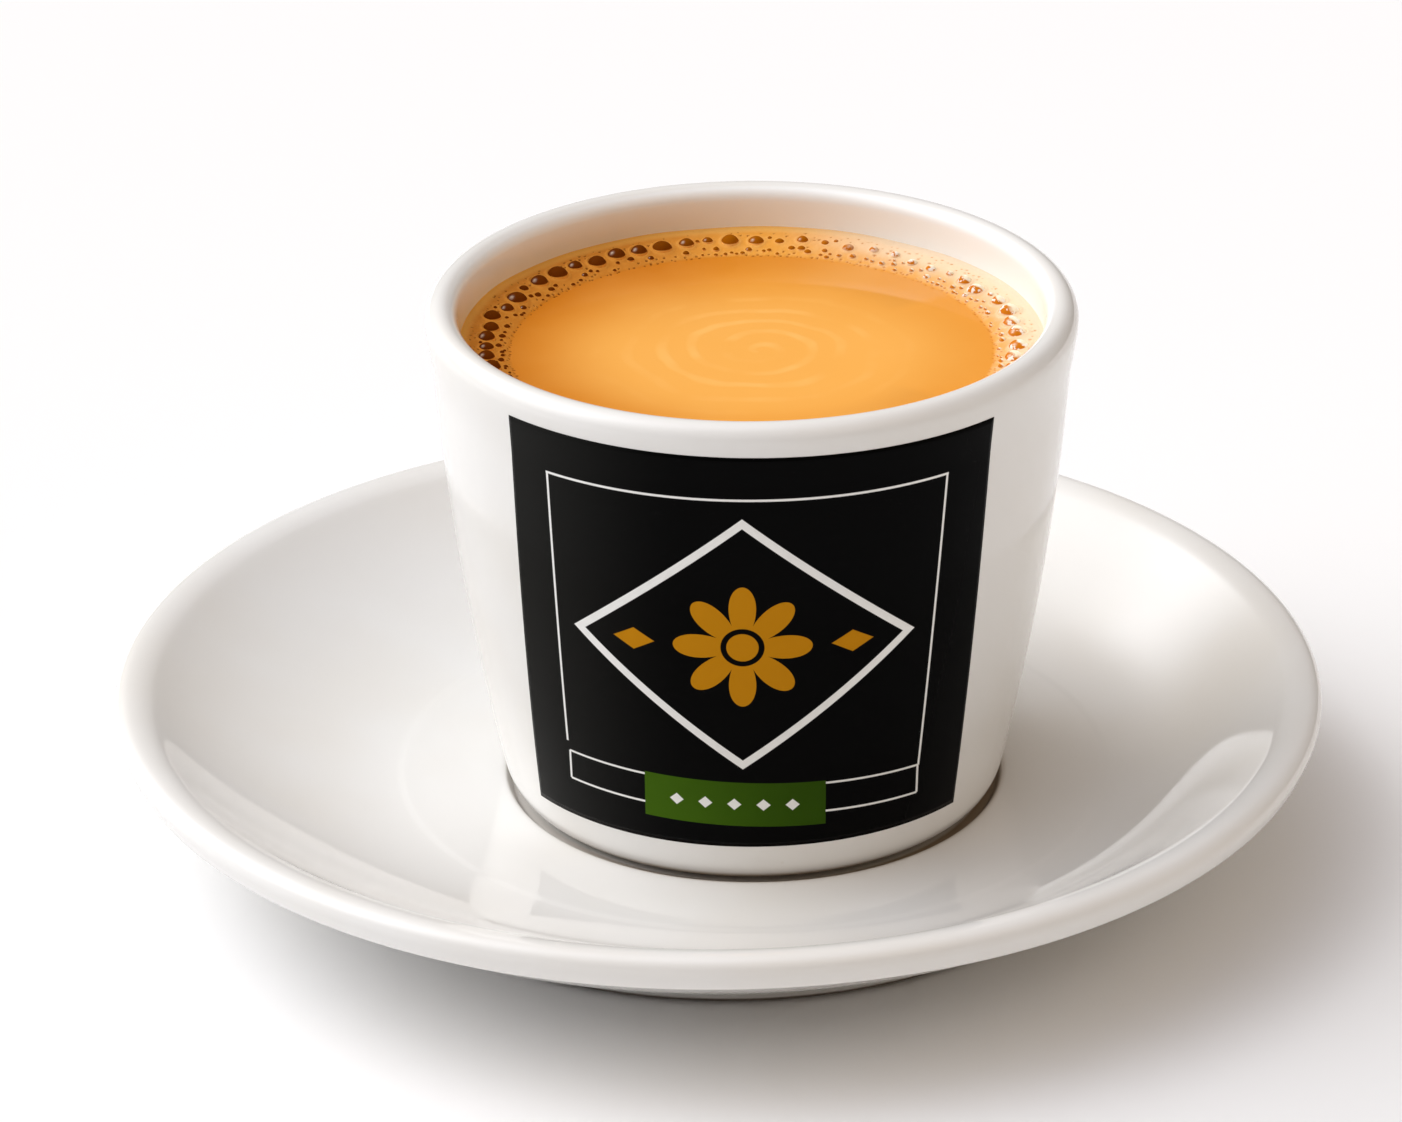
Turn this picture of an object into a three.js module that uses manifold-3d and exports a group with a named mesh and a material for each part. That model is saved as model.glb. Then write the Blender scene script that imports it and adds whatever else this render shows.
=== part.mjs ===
// A handle-less cup of milky masala chai with a ring of froth, standing in the well of its saucer.
// Millimetres, +Z up. The origin is on the table, under the middle of the saucer's rim.
// The printed panel on the cup faces -Y.

import * as THREE from 'three';
import * as BufferGeometryUtils from 'three/addons/utils/BufferGeometryUtils.js';
import Module from 'manifold-3d';

// Clearance between pieces that touch
const gap = 0.3;

// The cup and its well stand a little to the right of the rim's middle, and so does the foot ring
const cupCentreX = 4.4;
const footCentreX = 1.5;

const saucer = {
  segments: 64,
  rimRadius: 75,
  rimTop: 21.1,
  rollRadius: 1.7,
  rollTopRun: 1.6,
  rollInnerRadius: 70.2,
  rollInnerHeight: 20.2,
  faceLean: 20,
  faceLength: 1.5,
  faceRound: 0.8,
  flatRadius: 43.8,
  flatHeight: 8.2,
  wellRadius: 31,
  wellTop: 7.8,
  wellFloor: 6.6,
  wellWallRun: 0.7,
  flankTopRun: 7.6,
  flankTopDrop: 6,
  flankFootRun: 10.7,
  flankFootRise: 0.8,
  undersideHeight: 4.3,
  undersideStart: 2.2,
  undersideRun: 12,
  undersideRise: 2.6,
  undersideEnd: 0.4,
  footOuter: 47.3,
  footInner: 43.6,
  footRound: 0.7,
  footDepth: 2.6,
  footInset: 0.6,
  footSpread: 0.8,
  footSpreadDrop: 0.9,
  footEase: 3,
  rimEase: 6.2,
};

const cup = {
  segments: 60,
  baseHeight: saucer.wellFloor + gap,
  rimHeight: 71.35,
  midHeight: 40,
  midRadius: 36.43,
  taper: 0.1332,
  bow: 0.0015,
  flare: 0.54,
  flareStart: 62,
  lipHeight: 2.2,
  lipInnerHeight: 2.0,
  lipTopInset: 2.0,
  wallThickness: 3.4,
  floorTop: 12,
  innerCorner: 5,
  footRadius: 27.2,
  footRecessRadius: 22.5,
  footRecess: 1.1,
  edgeTop: 10.6,
  edgeRun: 2.3,
  edgeDrop: 2,
  edgeDraw: 0.45,
};

// The drink: its level, and the froth that climbs from it to the wall
const chai = {
  segments: 60,
  level: 64.5,
  frothInner: 29.4,
  frothRise: 1.2,
  frothSteps: 4,
};

// Bubbles stand in one uneven row on the froth, calmer and smaller on one stretch of it, with a row
// of small ones inside
const bubbles = {
  rowRadius: 32.4,
  largest: 2.8,
  smallest: 0.9,
  narrowestSpace: 0.4,
  widestSpace: 1.3,
  rowDraws: 171,
  wander: 0.45,
  sunk: 0.3,
  calmAngle: 62,
  calmWidth: 24,
  calmShare: 0.45,
  innerRowRadius: 30.6,
  innerSize: 0.95,
  innerCount: 26,
  innerWander: 0.6,
  innerDraws: 500,
  largeFacets: [7, 4],
  smallFacets: [5, 3],
};

// The printed panel: its widths and the places of its middle are measured along the wall, and its
// top edge leans, higher at the left
const panel = {
  bottom: 12.9,
  top: 67.65,
  topLean: 0.25,
  middleBottom: -1.7,
  middleTop: -0.5,
  halfWidthBottom: 29.1,
  halfWidthTop: 31.7,
  thickness: 0.3,
  columns: 24,
  rows: 4,
};

const finishes = {
  glaze: { color: 0xf3f1ec, roughness: 0.12, metalness: 0 },
  chai: { color: 0xe3a057, roughness: 0.25, metalness: 0 },
  print: { color: 0x0c0c0b, roughness: 0.3, metalness: 0 },
};

function smoothstep(from, to, value) {
  return THREE.MathUtils.smoothstep(value, from, to);
}

// The same number between 0 and 1 each time for the same index
function draw(index) {
  const wave = Math.sin((index + 1) * 12.9898) * 43758.5453;
  return wave - Math.floor(wave);
}

// Points of an ellipse's arc as [radius, height], angles in degrees from straight out
function arc(centreR, centreZ, halfWidth, halfHeight, from, to, steps) {
  const curve = new THREE.EllipseCurve(
    centreR, centreZ, halfWidth, halfHeight,
    THREE.MathUtils.degToRad(from), THREE.MathUtils.degToRad(to), to < from,
  );
  return curve.getPoints(steps).map((point) => [point.x, point.y]);
}

function bezier(controls, steps) {
  const corners = controls.map(([r, z]) => new THREE.Vector2(r, z));
  const curve = corners.length === 3
    ? new THREE.QuadraticBezierCurve(...corners)
    : new THREE.CubicBezierCurve(...corners);
  return curve.getPoints(steps).map((point) => [point.x, point.y]);
}

// Heights from one level to another in even steps, each with the radius there
function wallPoints(radiusAt, from, to, steps) {
  const points = [];
  for (let i = 0; i <= steps; i += 1) {
    const z = THREE.MathUtils.lerp(from, to, i / steps);
    points.push([radiusAt(z), z]);
  }
  return points;
}

// A profile turned about the vertical through (centreOf(radius, height), 0)
function turned(profile, segments, centreOf) {
  const outline = profile.filter(([r, z], i) => {
    const before = profile[i - 1];
    return !before || Math.hypot(r - before[0], z - before[1]) > 1e-4;
  });
  const geometry = new THREE.LatheGeometry(
    outline.map(([r, z]) => new THREE.Vector2(r, z)),
    segments,
  );
  geometry.rotateX(Math.PI / 2);
  const position = geometry.getAttribute('position');
  for (let i = 0; i < position.count; i += 1) {
    const [r, z] = outline[i % outline.length];
    position.setX(i, position.getX(i) + centreOf(r, z, i % outline.length));
  }
  return merged(geometry);
}

function merged(geometry) {
  geometry.deleteAttribute('normal');
  geometry.deleteAttribute('uv');
  const joined = BufferGeometryUtils.mergeVertices(geometry, 1e-4);
  return withoutSlivers(joined);
}

// Triangles that collapse on the axis of a turned shape are left out
function withoutSlivers(geometry) {
  const index = geometry.getIndex().array;
  const kept = [];
  for (let i = 0; i < index.length; i += 3) {
    const [a, b, c] = [index[i], index[i + 1], index[i + 2]];
    if (a !== b && b !== c && c !== a) {
      kept.push(a, b, c);
    }
  }
  geometry.setIndex(kept);
  return geometry;
}

// The cup's outer wall: a taper that bows out slightly, with a small flare under the lip
function outerRadius(z) {
  const up = z - cup.midHeight;
  const flare = cup.flare * smoothstep(cup.flareStart, cup.rimHeight - cup.lipHeight, z);
  return cup.midRadius + cup.taper * up - cup.bow * up * up + flare;
}

function innerRadius(z) {
  const up = z - cup.midHeight;
  return cup.midRadius + cup.taper * up - cup.bow * up * up - cup.wallThickness;
}

function cupGeometry() {
  const lipZ = cup.rimHeight - cup.lipHeight;
  const lipR = outerRadius(lipZ);
  const topR = lipR - cup.lipTopInset;
  const innerLipZ = cup.rimHeight - cup.lipInnerHeight;
  const innerLipR = innerRadius(innerLipZ);
  const edgeR = outerRadius(cup.edgeTop);
  const profile = [
    [0, cup.baseHeight + cup.footRecess],
    [cup.footRecessRadius, cup.baseHeight + cup.footRecess],
    [cup.footRecessRadius + cup.footRecess, cup.baseHeight],
    ...bezier([
      [cup.footRadius, cup.baseHeight],
      [cup.footRadius + cup.edgeRun, cup.baseHeight],
      [edgeR - cup.edgeDraw, cup.edgeTop - cup.edgeDrop],
      [edgeR, cup.edgeTop],
    ], 5),
    ...wallPoints(outerRadius, cup.edgeTop, cup.flareStart, 5),
    ...wallPoints(outerRadius, cup.flareStart, lipZ, 3),
    ...arc(topR, lipZ, cup.lipTopInset, cup.lipHeight, 0, 90, 4),
    ...arc(topR, innerLipZ, topR - innerLipR, cup.lipInnerHeight, 90, 180, 3),
    ...wallPoints(innerRadius, innerLipZ, cup.floorTop + cup.innerCorner, 4),
    ...arc(
      innerRadius(cup.floorTop + cup.innerCorner) - cup.innerCorner,
      cup.floorTop + cup.innerCorner,
      cup.innerCorner, cup.innerCorner, 0, -90, 3,
    ),
    [0, cup.floorTop],
  ];
  return turned(profile, cup.segments, () => cupCentreX);
}

// The rim is a roll over an outer face that leans in as it goes down and is rounded off below
function saucerGeometry() {
  const rollR = saucer.rimRadius - saucer.rollRadius;
  const rollZ = saucer.rimTop - saucer.rollRadius;
  const lean = THREE.MathUtils.degToRad(saucer.faceLean);
  const inset = saucer.rollRadius - saucer.faceRound;
  const roundR = rollR + inset * Math.cos(lean) - saucer.faceLength * Math.sin(lean);
  const roundZ = rollZ - inset * Math.sin(lean) - saucer.faceLength * Math.cos(lean);
  const top = [
    ...arc(roundR, roundZ, saucer.faceRound, saucer.faceRound, -90, -saucer.faceLean, 3),
    ...arc(rollR, rollZ, saucer.rollRadius, saucer.rollRadius, -saucer.faceLean, 90, 5),
    ...bezier([
      [rollR, saucer.rimTop],
      [rollR - saucer.rollTopRun, saucer.rimTop],
      [saucer.rollInnerRadius, saucer.rollInnerHeight],
    ], 2),
    ...bezier([
      [saucer.rollInnerRadius, saucer.rollInnerHeight],
      [
        saucer.rollInnerRadius - saucer.flankTopRun,
        saucer.rollInnerHeight - saucer.flankTopDrop,
      ],
      [
        saucer.flatRadius + saucer.flankFootRun,
        saucer.flatHeight + saucer.flankFootRise,
      ],
      [saucer.flatRadius, saucer.flatHeight],
    ], 6),
    [saucer.wellRadius, saucer.wellTop],
    [saucer.wellRadius - saucer.wellWallRun, saucer.wellFloor],
    [0, saucer.wellFloor],
  ];
  const under = [
    [0, saucer.footDepth],
    [saucer.footInner - saucer.footInset, saucer.footDepth],
    [saucer.footInner, saucer.footRound],
    [saucer.footInner + saucer.footRound, 0],
    [saucer.footOuter - saucer.footRound, 0],
    [saucer.footOuter, saucer.footRound],
    [saucer.footOuter + saucer.footSpread, saucer.undersideHeight - saucer.footSpreadDrop],
    ...bezier([
      [saucer.footOuter + saucer.undersideStart, saucer.undersideHeight],
      [saucer.footOuter + saucer.undersideRun, saucer.undersideHeight + saucer.undersideRise],
      [roundR - saucer.undersideEnd, roundZ - saucer.faceRound],
    ], 5),
  ];
  const profile = [...under, ...top];
  const reach = saucer.rimRadius - saucer.rimEase;
  const centreOf = (r, z, i) => (i < under.length
    ? footCentreX * (1 - smoothstep(saucer.footOuter + saucer.footEase, reach, r))
    : cupCentreX * (1 - smoothstep(saucer.flatRadius, reach, r)));
  return turned(profile, saucer.segments, centreOf);
}

// Height of the froth at a radius: from the level of the drink it climbs to the wall in one swell
function frothHeight(radius) {
  const wall = innerRadius(chai.level) - gap;
  const across = THREE.MathUtils.clamp((radius - chai.frothInner) / (wall - chai.frothInner), 0, 1);
  return chai.level + chai.frothRise * Math.sin(across * Math.PI / 2);
}

function chaiBody() {
  const bottom = cup.floorTop + gap;
  const side = (z) => innerRadius(z) - gap;
  const corner = cup.innerCorner;
  const wallTop = chai.level + chai.frothRise;
  const frothRing = [];
  for (let i = 0; i <= chai.frothSteps; i += 1) {
    const r = THREE.MathUtils.lerp(side(wallTop), chai.frothInner, i / chai.frothSteps);
    frothRing.push([r, frothHeight(r)]);
  }
  const profile = [
    [0, bottom],
    ...arc(side(bottom + corner) - corner, bottom + corner, corner, corner, -90, 0, 3),
    ...wallPoints(side, bottom + corner, wallTop, 2),
    ...frothRing,
    [0, chai.level],
  ];
  return turned(profile, chai.segments, () => cupCentreX);
}

// The share by which bubbles are smaller near the calm stretch: a bell curve over the angle
function calmness(angle) {
  const away = (THREE.MathUtils.radToDeg(angle) - bubbles.calmAngle) / bubbles.calmWidth;
  return bubbles.calmShare * Math.exp(-away * away);
}

// Places and sizes of the bubbles: an uneven row that fills the ring, most of them large, then a
// finer row inside it
function bubbleList() {
  const list = [];
  let start = 0;
  for (let i = 0; start < 2 * Math.PI; i += 1) {
    const first = bubbles.rowDraws + 3 * i;
    const size = THREE.MathUtils.lerp(bubbles.smallest, bubbles.largest, Math.sqrt(draw(first)));
    const space = THREE.MathUtils.lerp(bubbles.narrowestSpace, bubbles.widestSpace, draw(first + 1));
    const step = (size + space) / bubbles.rowRadius;
    const angle = start + step / 2;
    const radius = bubbles.rowRadius + bubbles.wander * (2 * draw(first + 2) - 1);
    if (start + step < 2 * Math.PI) {
      list.push({ angle, radius, size: size * (1 - calmness(angle)) });
    }
    start += step;
  }
  for (let i = 0; i < bubbles.innerCount; i += 1) {
    const turn = (i + bubbles.innerWander * draw(bubbles.innerDraws + i)) / bubbles.innerCount;
    list.push({ angle: turn * 2 * Math.PI, radius: bubbles.innerRowRadius, size: bubbles.innerSize });
  }
  return list;
}

const wasm = await Module();
wasm.setup();

function toSolid(geometry) {
  const vertProperties = new Float32Array(geometry.getAttribute('position').array);
  const triVerts = new Uint32Array(geometry.getIndex().array);
  return new wasm.Manifold(new wasm.Mesh({ numProp: 3, vertProperties, triVerts }));
}

function toGeometry(solid) {
  const mesh = solid.getMesh();
  const geometry = new THREE.BufferGeometry();
  geometry.setAttribute('position', new THREE.BufferAttribute(mesh.vertProperties, 3));
  geometry.setIndex(new THREE.BufferAttribute(mesh.triVerts, 1));
  return geometry;
}

// The drink with its froth, and each bubble joined on as a dome
function chaiGeometry() {
  let solid = toSolid(chaiBody());
  for (const { angle, radius, size } of bubbleList()) {
    const [around, rings] = size > bubbles.innerSize ? bubbles.largeFacets : bubbles.smallFacets;
    const dome = new THREE.SphereGeometry(size / 2, around, rings);
    dome.rotateX(Math.PI / 2);
    dome.translate(
      cupCentreX + radius * Math.cos(angle),
      radius * Math.sin(angle),
      frothHeight(radius) - bubbles.sunk * size / 2,
    );
    solid = solid.add(toSolid(merged(dome)));
  }
  return toGeometry(solid);
}

// A thin plate bent round the cup's wall, wider at the top than at the bottom
function panelGeometry() {
  const geometry = new THREE.BoxGeometry(2, 1, panel.thickness, panel.columns, panel.rows, 1);
  const position = geometry.getAttribute('position');
  for (let i = 0; i < position.count; i += 1) {
    const up = position.getY(i) + 0.5;
    const top = panel.top - panel.topLean * position.getX(i);
    const z = THREE.MathUtils.lerp(panel.bottom, top, up);
    const middle = THREE.MathUtils.lerp(panel.middleBottom, panel.middleTop, up);
    const halfWidth = THREE.MathUtils.lerp(panel.halfWidthBottom, panel.halfWidthTop, up);
    const angle = (middle + position.getX(i) * halfWidth) / outerRadius(z);
    const radius = outerRadius(z) + gap + panel.thickness / 2 + position.getZ(i);
    position.setXYZ(
      i,
      cupCentreX + radius * Math.sin(angle),
      -radius * Math.cos(angle),
      z,
    );
  }
  return merged(geometry);
}

function piece(name, geometry, finish) {
  const mesh = new THREE.Mesh(geometry, new THREE.MeshStandardMaterial(finish));
  mesh.name = name;
  return mesh;
}

const object = new THREE.Group();
object.add(piece('saucer', saucerGeometry(), finishes.glaze));
object.add(piece('cup', cupGeometry(), finishes.glaze));
object.add(piece('chai', chaiGeometry(), finishes.chai));
object.add(piece('printed_panel', panelGeometry(), finishes.print));

export default object;
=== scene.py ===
import math

import bpy
import numpy as np
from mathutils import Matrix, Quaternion, Vector


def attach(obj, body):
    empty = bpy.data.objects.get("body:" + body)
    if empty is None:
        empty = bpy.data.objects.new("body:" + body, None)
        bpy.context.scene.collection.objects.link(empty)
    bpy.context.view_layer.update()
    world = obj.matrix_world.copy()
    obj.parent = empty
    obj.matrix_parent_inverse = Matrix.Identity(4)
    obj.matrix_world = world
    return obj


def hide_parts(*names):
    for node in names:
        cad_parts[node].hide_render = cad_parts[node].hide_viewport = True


# A handle-less cup of masala chai in its saucer, dressed over the fixed frame.
# Sizes in the dictionaries are millimetres, as in the frame's source; meshes are in metres.

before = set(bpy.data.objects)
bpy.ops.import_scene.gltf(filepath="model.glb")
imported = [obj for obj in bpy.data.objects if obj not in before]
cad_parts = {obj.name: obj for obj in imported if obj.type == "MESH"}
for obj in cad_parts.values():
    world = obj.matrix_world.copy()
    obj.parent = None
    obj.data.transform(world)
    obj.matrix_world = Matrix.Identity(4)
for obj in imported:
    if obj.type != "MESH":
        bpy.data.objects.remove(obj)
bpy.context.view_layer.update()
mm = 0.001
print("frame loaded:", sorted(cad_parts))


# camera and stage

cameraSettings = {
    "lens": 152.2, "sensor": 36.0, "distance": 732.2, "aim": (-1.987, 0.0, 35.996),
    "elevation": 25.2824, "roll": -0.484,  # degrees
    "clip": (0.05, 50.0),  # metres
}


def addCamera(setting):
    # stands off from the aim along (0, -cos e, sin e), looks back at it, then rolls about its own axis
    data = bpy.data.cameras.new("photoCamera")
    data.lens = setting["lens"]
    data.sensor_width = setting["sensor"]
    data.clip_start, data.clip_end = setting["clip"]
    up = math.radians(setting["elevation"])
    back = Vector((0, -math.cos(up), math.sin(up)))
    camera = bpy.data.objects.new("photoCamera", data)
    camera.location = (Vector(setting["aim"]) + back * setting["distance"]) * mm
    camera.rotation_mode = "QUATERNION"
    roll = Quaternion((0, 0, 1), math.radians(setting["roll"]))
    camera.rotation_quaternion = (-back).to_track_quat("-Z", "Y") @ roll
    bpy.context.scene.collection.objects.link(camera)
    bpy.context.scene.camera = camera


# shader building: a socket that can be added and multiplied, and a material that makes nodes

socketNames = {
    "baseColour": "Base Color", "roughness": "Roughness", "ior": "IOR", "specular": "Specular IOR Level",
    "coat": "Coat Weight", "coatRoughness": "Coat Roughness", "coatIor": "Coat IOR", "normal": "Normal",
}


class Wire:
    # one output socket; each operator adds a Math node after it
    def __init__(self, look, socket):
        self.look = look
        self.socket = socket

    def joined(self, operation, first, second):
        return self.look.node("ShaderNodeMath", {"operation": operation}, {0: first, 1: second})

    def through(self, operation, other=0.0):
        return self.joined(operation, self, other)

    def __add__(self, other):
        return self.through("ADD", other)

    def __radd__(self, other):
        return self.joined("ADD", other, self)

    def __sub__(self, other):
        return self.through("SUBTRACT", other)

    def __rsub__(self, other):
        return self.joined("SUBTRACT", other, self)

    def __mul__(self, other):
        return self.through("MULTIPLY", other)

    def __rmul__(self, other):
        return self.joined("MULTIPLY", other, self)

    def __truediv__(self, other):
        return self.through("DIVIDE", other)

    def __pow__(self, other):
        return self.through("POWER", other)

    def __abs__(self):
        return self.through("ABSOLUTE")

    def size(self, other):
        # length of the pair (self, other)
        return (self * self + other * other) ** 0.5

    def most(self, other):
        return self.through("MAXIMUM", other)

    def over(self, radius):
        # its share of a radius, kept finite at the axis
        return self / radius.most(0.01)


class Look:
    # one material, or the world, with its node tree
    def __init__(self, name, owner=None):
        self.material = owner or bpy.data.materials.new(name)
        self.material.use_nodes = True
        self.tree = self.material.node_tree
        self.tree.nodes.clear()

    def node(self, kind, settings=None, sockets=None, output=0):
        # a node of a type: its settings first, then the values or links of its sockets
        made = self.tree.nodes.new(kind)
        for key, value in (settings or {}).items():
            setattr(made, key, value)
        for key, value in (sockets or {}).items():
            self.feed(made.inputs[key], value)
        return Wire(self, made.outputs[output]) if len(made.outputs) else None

    def feed(self, socket, value):
        if isinstance(value, Wire):
            self.tree.links.new(value.socket, socket)
        elif socket.type == "RGBA":
            socket.default_value = (*value[:3], 1.0)
        else:
            socket.default_value = value

    def place(self):
        return self.node("ShaderNodeTexCoord", output="Object")

    def millimetres(self):
        # x, y and z of the object's own coordinates, in millimetres
        place = self.place()
        return [self.node("ShaderNodeSeparateXYZ", None, {0: place}, axis) * 1000.0 for axis in range(3)]

    def noise(self, place, scale, detail=2.0):
        return self.node("ShaderNodeTexNoise", None, {"Vector": place, "Scale": scale, "Detail": detail})

    def cells(self, place, scale):
        # distance to the middle of the nearest cell
        return self.node("ShaderNodeTexVoronoi", None, {"Vector": place, "Scale": scale})

    def step(self, low, high, value):
        # 0 below low, 1 above high, eased between them
        settings = {"interpolation_type": "SMOOTHSTEP"}
        return self.node("ShaderNodeMapRange", settings, {"Value": value, "From Min": low, "From Max": high})

    def fade(self, low, high, value):
        # 1 below low, 0 above high
        return 1.0 - self.step(low, high, value)

    def attribute(self, name):
        return self.node("ShaderNodeAttribute", {"attribute_name": name}, output="Fac")

    def mix(self, factor, first, second, blend="MIX"):
        settings = {"data_type": "RGBA", "blend_type": blend}
        return self.node("ShaderNodeMix", settings, {0: factor, 6: first, 7: second}, output=2)

    def bump(self, height, strength, distance, normal=None):
        sockets = {"Strength": strength, "Distance": distance, "Height": height}
        if normal is not None:
            sockets["Normal"] = normal
        return self.node("ShaderNodeBump", None, sockets)

    def finish(self, **sockets):
        # the Principled shader and the output
        named = {socketNames[key]: value for key, value in sockets.items()}
        shader = self.node("ShaderNodeBsdfPrincipled", None, named)
        self.node("ShaderNodeOutputMaterial", None, {"Surface": shader})
        return self.material


# meshes worked out with numpy

def eased(low, high, value):
    # t = (value - low) / (high - low) held to 0..1, then 3t^2 - 2t^3
    t = np.clip((np.asarray(value, float) - low) / (high - low), 0, 1)
    return t * t * (3 - 2 * t)


def bell(middle, width, value):
    # exp(-((value - middle) / width)^2)
    return np.exp(-((value - middle) / width) ** 2)


def drawn(index):
    # fraction of 43758.5453 sin(12.9898 (index + 1)), the same for the same index
    wave = np.sin((np.asarray(index, float) + 1) * 12.9898) * 43758.5453
    return wave - np.floor(wave)


def arcPoints(centreR, centreZ, wide, tall, start, end, count):
    # (centreR + wide cos a, centreZ + tall sin a) for even angles a in degrees
    a = np.radians(np.linspace(start, end, count + 1))
    return np.stack([centreR + wide * np.cos(a), centreZ + tall * np.sin(a)], 1)


def bezierPoints(corners, count=24):
    # each corner k of n weighs binomial(n, k) t^k (1 - t)^(n - k)
    corners = np.array(corners, float)
    n = len(corners) - 1
    t = np.linspace(0, 1, count + 1)[:, None]
    return sum(math.comb(n, k) * t ** k * (1 - t) ** (n - k) * corners[k] for k in range(n + 1))


def softened(profile, s):
    # the line is cut every 0.1 mm, averaged with a bell curve of the piece's softness, and then
    # sampled so that each step is at most longestStep and turns at most about turnStep degrees
    cut = 0.1
    length = np.concatenate([[0], np.cumsum(np.hypot(*np.diff(profile, axis=0).T))])
    along = np.linspace(0, length[-1], int(length[-1] / cut) + 1)
    r = np.interp(along, length, profile[:, 0])
    z = np.interp(along, length, profile[:, 1])
    reach = int(3 * s["softness"] / cut) + 1
    weights = np.exp(-0.5 * (np.arange(-reach, reach + 1) * cut / s["softness"]) ** 2)
    weights /= weights.sum()
    r = np.convolve(np.concatenate([-r[reach:0:-1], r, -r[-2:-reach - 2:-1]]), weights, "valid")
    z = np.convolve(np.concatenate([z[reach:0:-1], z, z[-2:-reach - 2:-1]]), weights, "valid")
    heading = np.unwrap(np.arctan2(np.gradient(z), np.gradient(r)))
    steps = np.hypot(np.diff(r), np.diff(z)) / s["longestStep"]
    steps += np.abs(np.diff(heading)) / math.radians(s["turnStep"])
    total = np.concatenate([[0], np.cumsum(steps)])
    even = np.linspace(0, total[-1], int(total[-1]) + 2)
    return np.stack([np.interp(even, total, r), np.interp(even, total, z)], 1)


def ring(count, radius, height, centreX):
    # (centreX + radius cos a, radius sin a, height) for count even angles a
    a = np.arange(count) * 2 * math.pi / count
    return np.stack([centreX + radius * np.cos(a), radius * np.sin(a), height + 0 * a], 1)


def strip(lower, lowerCount, upper, upperCount):
    # faces between two rings of vertices that start at those indices; where one ring is finer,
    # a face holds one step of the coarse ring and all its steps of the fine one
    coarse = min(lowerCount, upperCount)
    j = np.arange(coarse)[:, None]
    lowerSteps = np.arange(lowerCount // coarse + 1)
    upperSteps = np.arange(upperCount // coarse, -1, -1)
    low = lower + (j * (lowerCount // coarse) + lowerSteps) % lowerCount
    high = upper + (j * (upperCount // coarse) + upperSteps) % upperCount
    return np.concatenate([low, high], 1)


def fan(pole, first, count, poleIsLast):
    # triangles from a pole to each step of a ring
    j = np.arange(count)
    around = np.stack([first + j, first + (j + 1) % count], 1)
    if not poleIsLast:
        around = around[:, ::-1]
    return np.concatenate([around, np.full((count, 1), pole)], 1)


def ringedSolid(rings, firstPole, lastPole):
    # closed skin through rings of points, from a pole below to a pole above; returns points and faces
    counts = [len(r) for r in rings]
    starts = 1 + np.concatenate([[0], np.cumsum(counts)])
    points = np.concatenate([[firstPole], *rings, [lastPole]])
    faces = [fan(0, 1, counts[0], False)]
    for i in range(len(rings) - 1):
        faces.append(strip(starts[i], counts[i], starts[i + 1], counts[i + 1]))
    faces.append(fan(starts[-1], starts[-2], counts[-1], True))
    return points, faces


def addPiece(name, points, faces, look, node=None, attributes=None):
    # puts the points, given in millimetres, and the faces into a smooth mesh that rides on the body
    mesh = bpy.data.meshes.new(name)
    corners = [corner for part in faces for corner in part.tolist()]
    mesh.from_pydata((np.asarray(points) * mm).tolist(), [], corners)
    mesh.polygons.foreach_set("use_smooth", np.ones(len(mesh.polygons), bool))
    for key, values in (attributes or {}).items():
        attribute = mesh.attributes.new(key, "FLOAT", "POINT")
        attribute.data.foreach_set("value", np.asarray(values, np.float32))
    mesh.update()
    mesh.materials.append(look)
    piece = bpy.data.objects.new(name, mesh)
    bpy.context.scene.collection.objects.link(piece)
    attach(piece, "root")
    if node:
        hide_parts(node)
    print("made", name, len(mesh.polygons), "faces")
    return piece


def addTurned(name, s, profile, centreX, look, node):
    # each profile point (r, z) becomes a ring round (centreX, 0); the two ends lie on the axis
    rings = [ring(s["segments"], r, z, x) for (r, z), x in zip(profile[1:-1], centreX[1:-1])]
    firstPole = (centreX[0], 0, profile[0][1])
    lastPole = (centreX[-1], 0, profile[-1][1])
    points, faces = ringedSolid(rings, firstPole, lastPole)
    addPiece(name, points, faces, look, node)


# glaze, shared by the cup and the saucer

glazeSettings = {
    # colours, clouds of warmer glaze, and patches of small specks
    "white": (0.86, 0.85, 0.83), "warm": (0.84, 0.82, 0.785), "biscuit": (0.73, 0.68, 0.60),
    "cloudScale": 38.0, "cloudEdge": (0.35, 0.7),
    "speckScale": 240.0, "speckEdge": (0.03, 0.07), "speckShare": 0.25,
    "patchScale": 90.0, "patchEdge": (0.6, 0.75),
    # gloss, and slow waves with finer ripples on them
    "ior": 1.5, "roughness": 0.045, "roughnessMore": 0.03, "roughnessScale": 60.0,
    "waver": 0.03, "waverStrength": 0.35, "waverScale": 95.0, "rippleScale": 330.0, "rippleShare": 0.25,
    # the bare foot and its grain; its dark tone is painted contact shadow where the foot meets the floor or
    # sits in the well
    "footShadeTone": (0.16, 0.11, 0.08), "footEdge": (-0.25, 0.1), "footShadeShare": 0.75, "footRoughness": 0.5,
    "grain": 0.05, "grainStrength": 0.5, "grainScale": 2600.0,
    # inside the cup: cooler glaze from the wall inwards, and the film that the tea leaves, kept towards -X
    # where it is also painted shade and the tea's bounce light
    "inside": (0.94, 0.975, 0.985), "insideEdge": (0.6, 1.2), "insideFrom": (10.0, 12.0),
    "stainAndShade": (0.84, 0.64, 0.34), "stainAndShadeShare": 0.55, "stainShadeSide": (-0.7, 0.4), "stainFrom": (60.0, 61.0),
    "ragged": 0.9, "raggedScale": 170.0,
    # painted shade in the line where cup and well meet, paler at the left where light falls; each piece's own
    # entry gives the line's radii and heights
    "wellShadeTone": (0.32, 0.22, 0.12), "wellShadeEase": (0.6, 1.6),
    "wellShadeLeft": 0.25, "wellShadeMore": 0.6, "wellShadeSide": (-0.95, -0.2),
}


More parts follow.
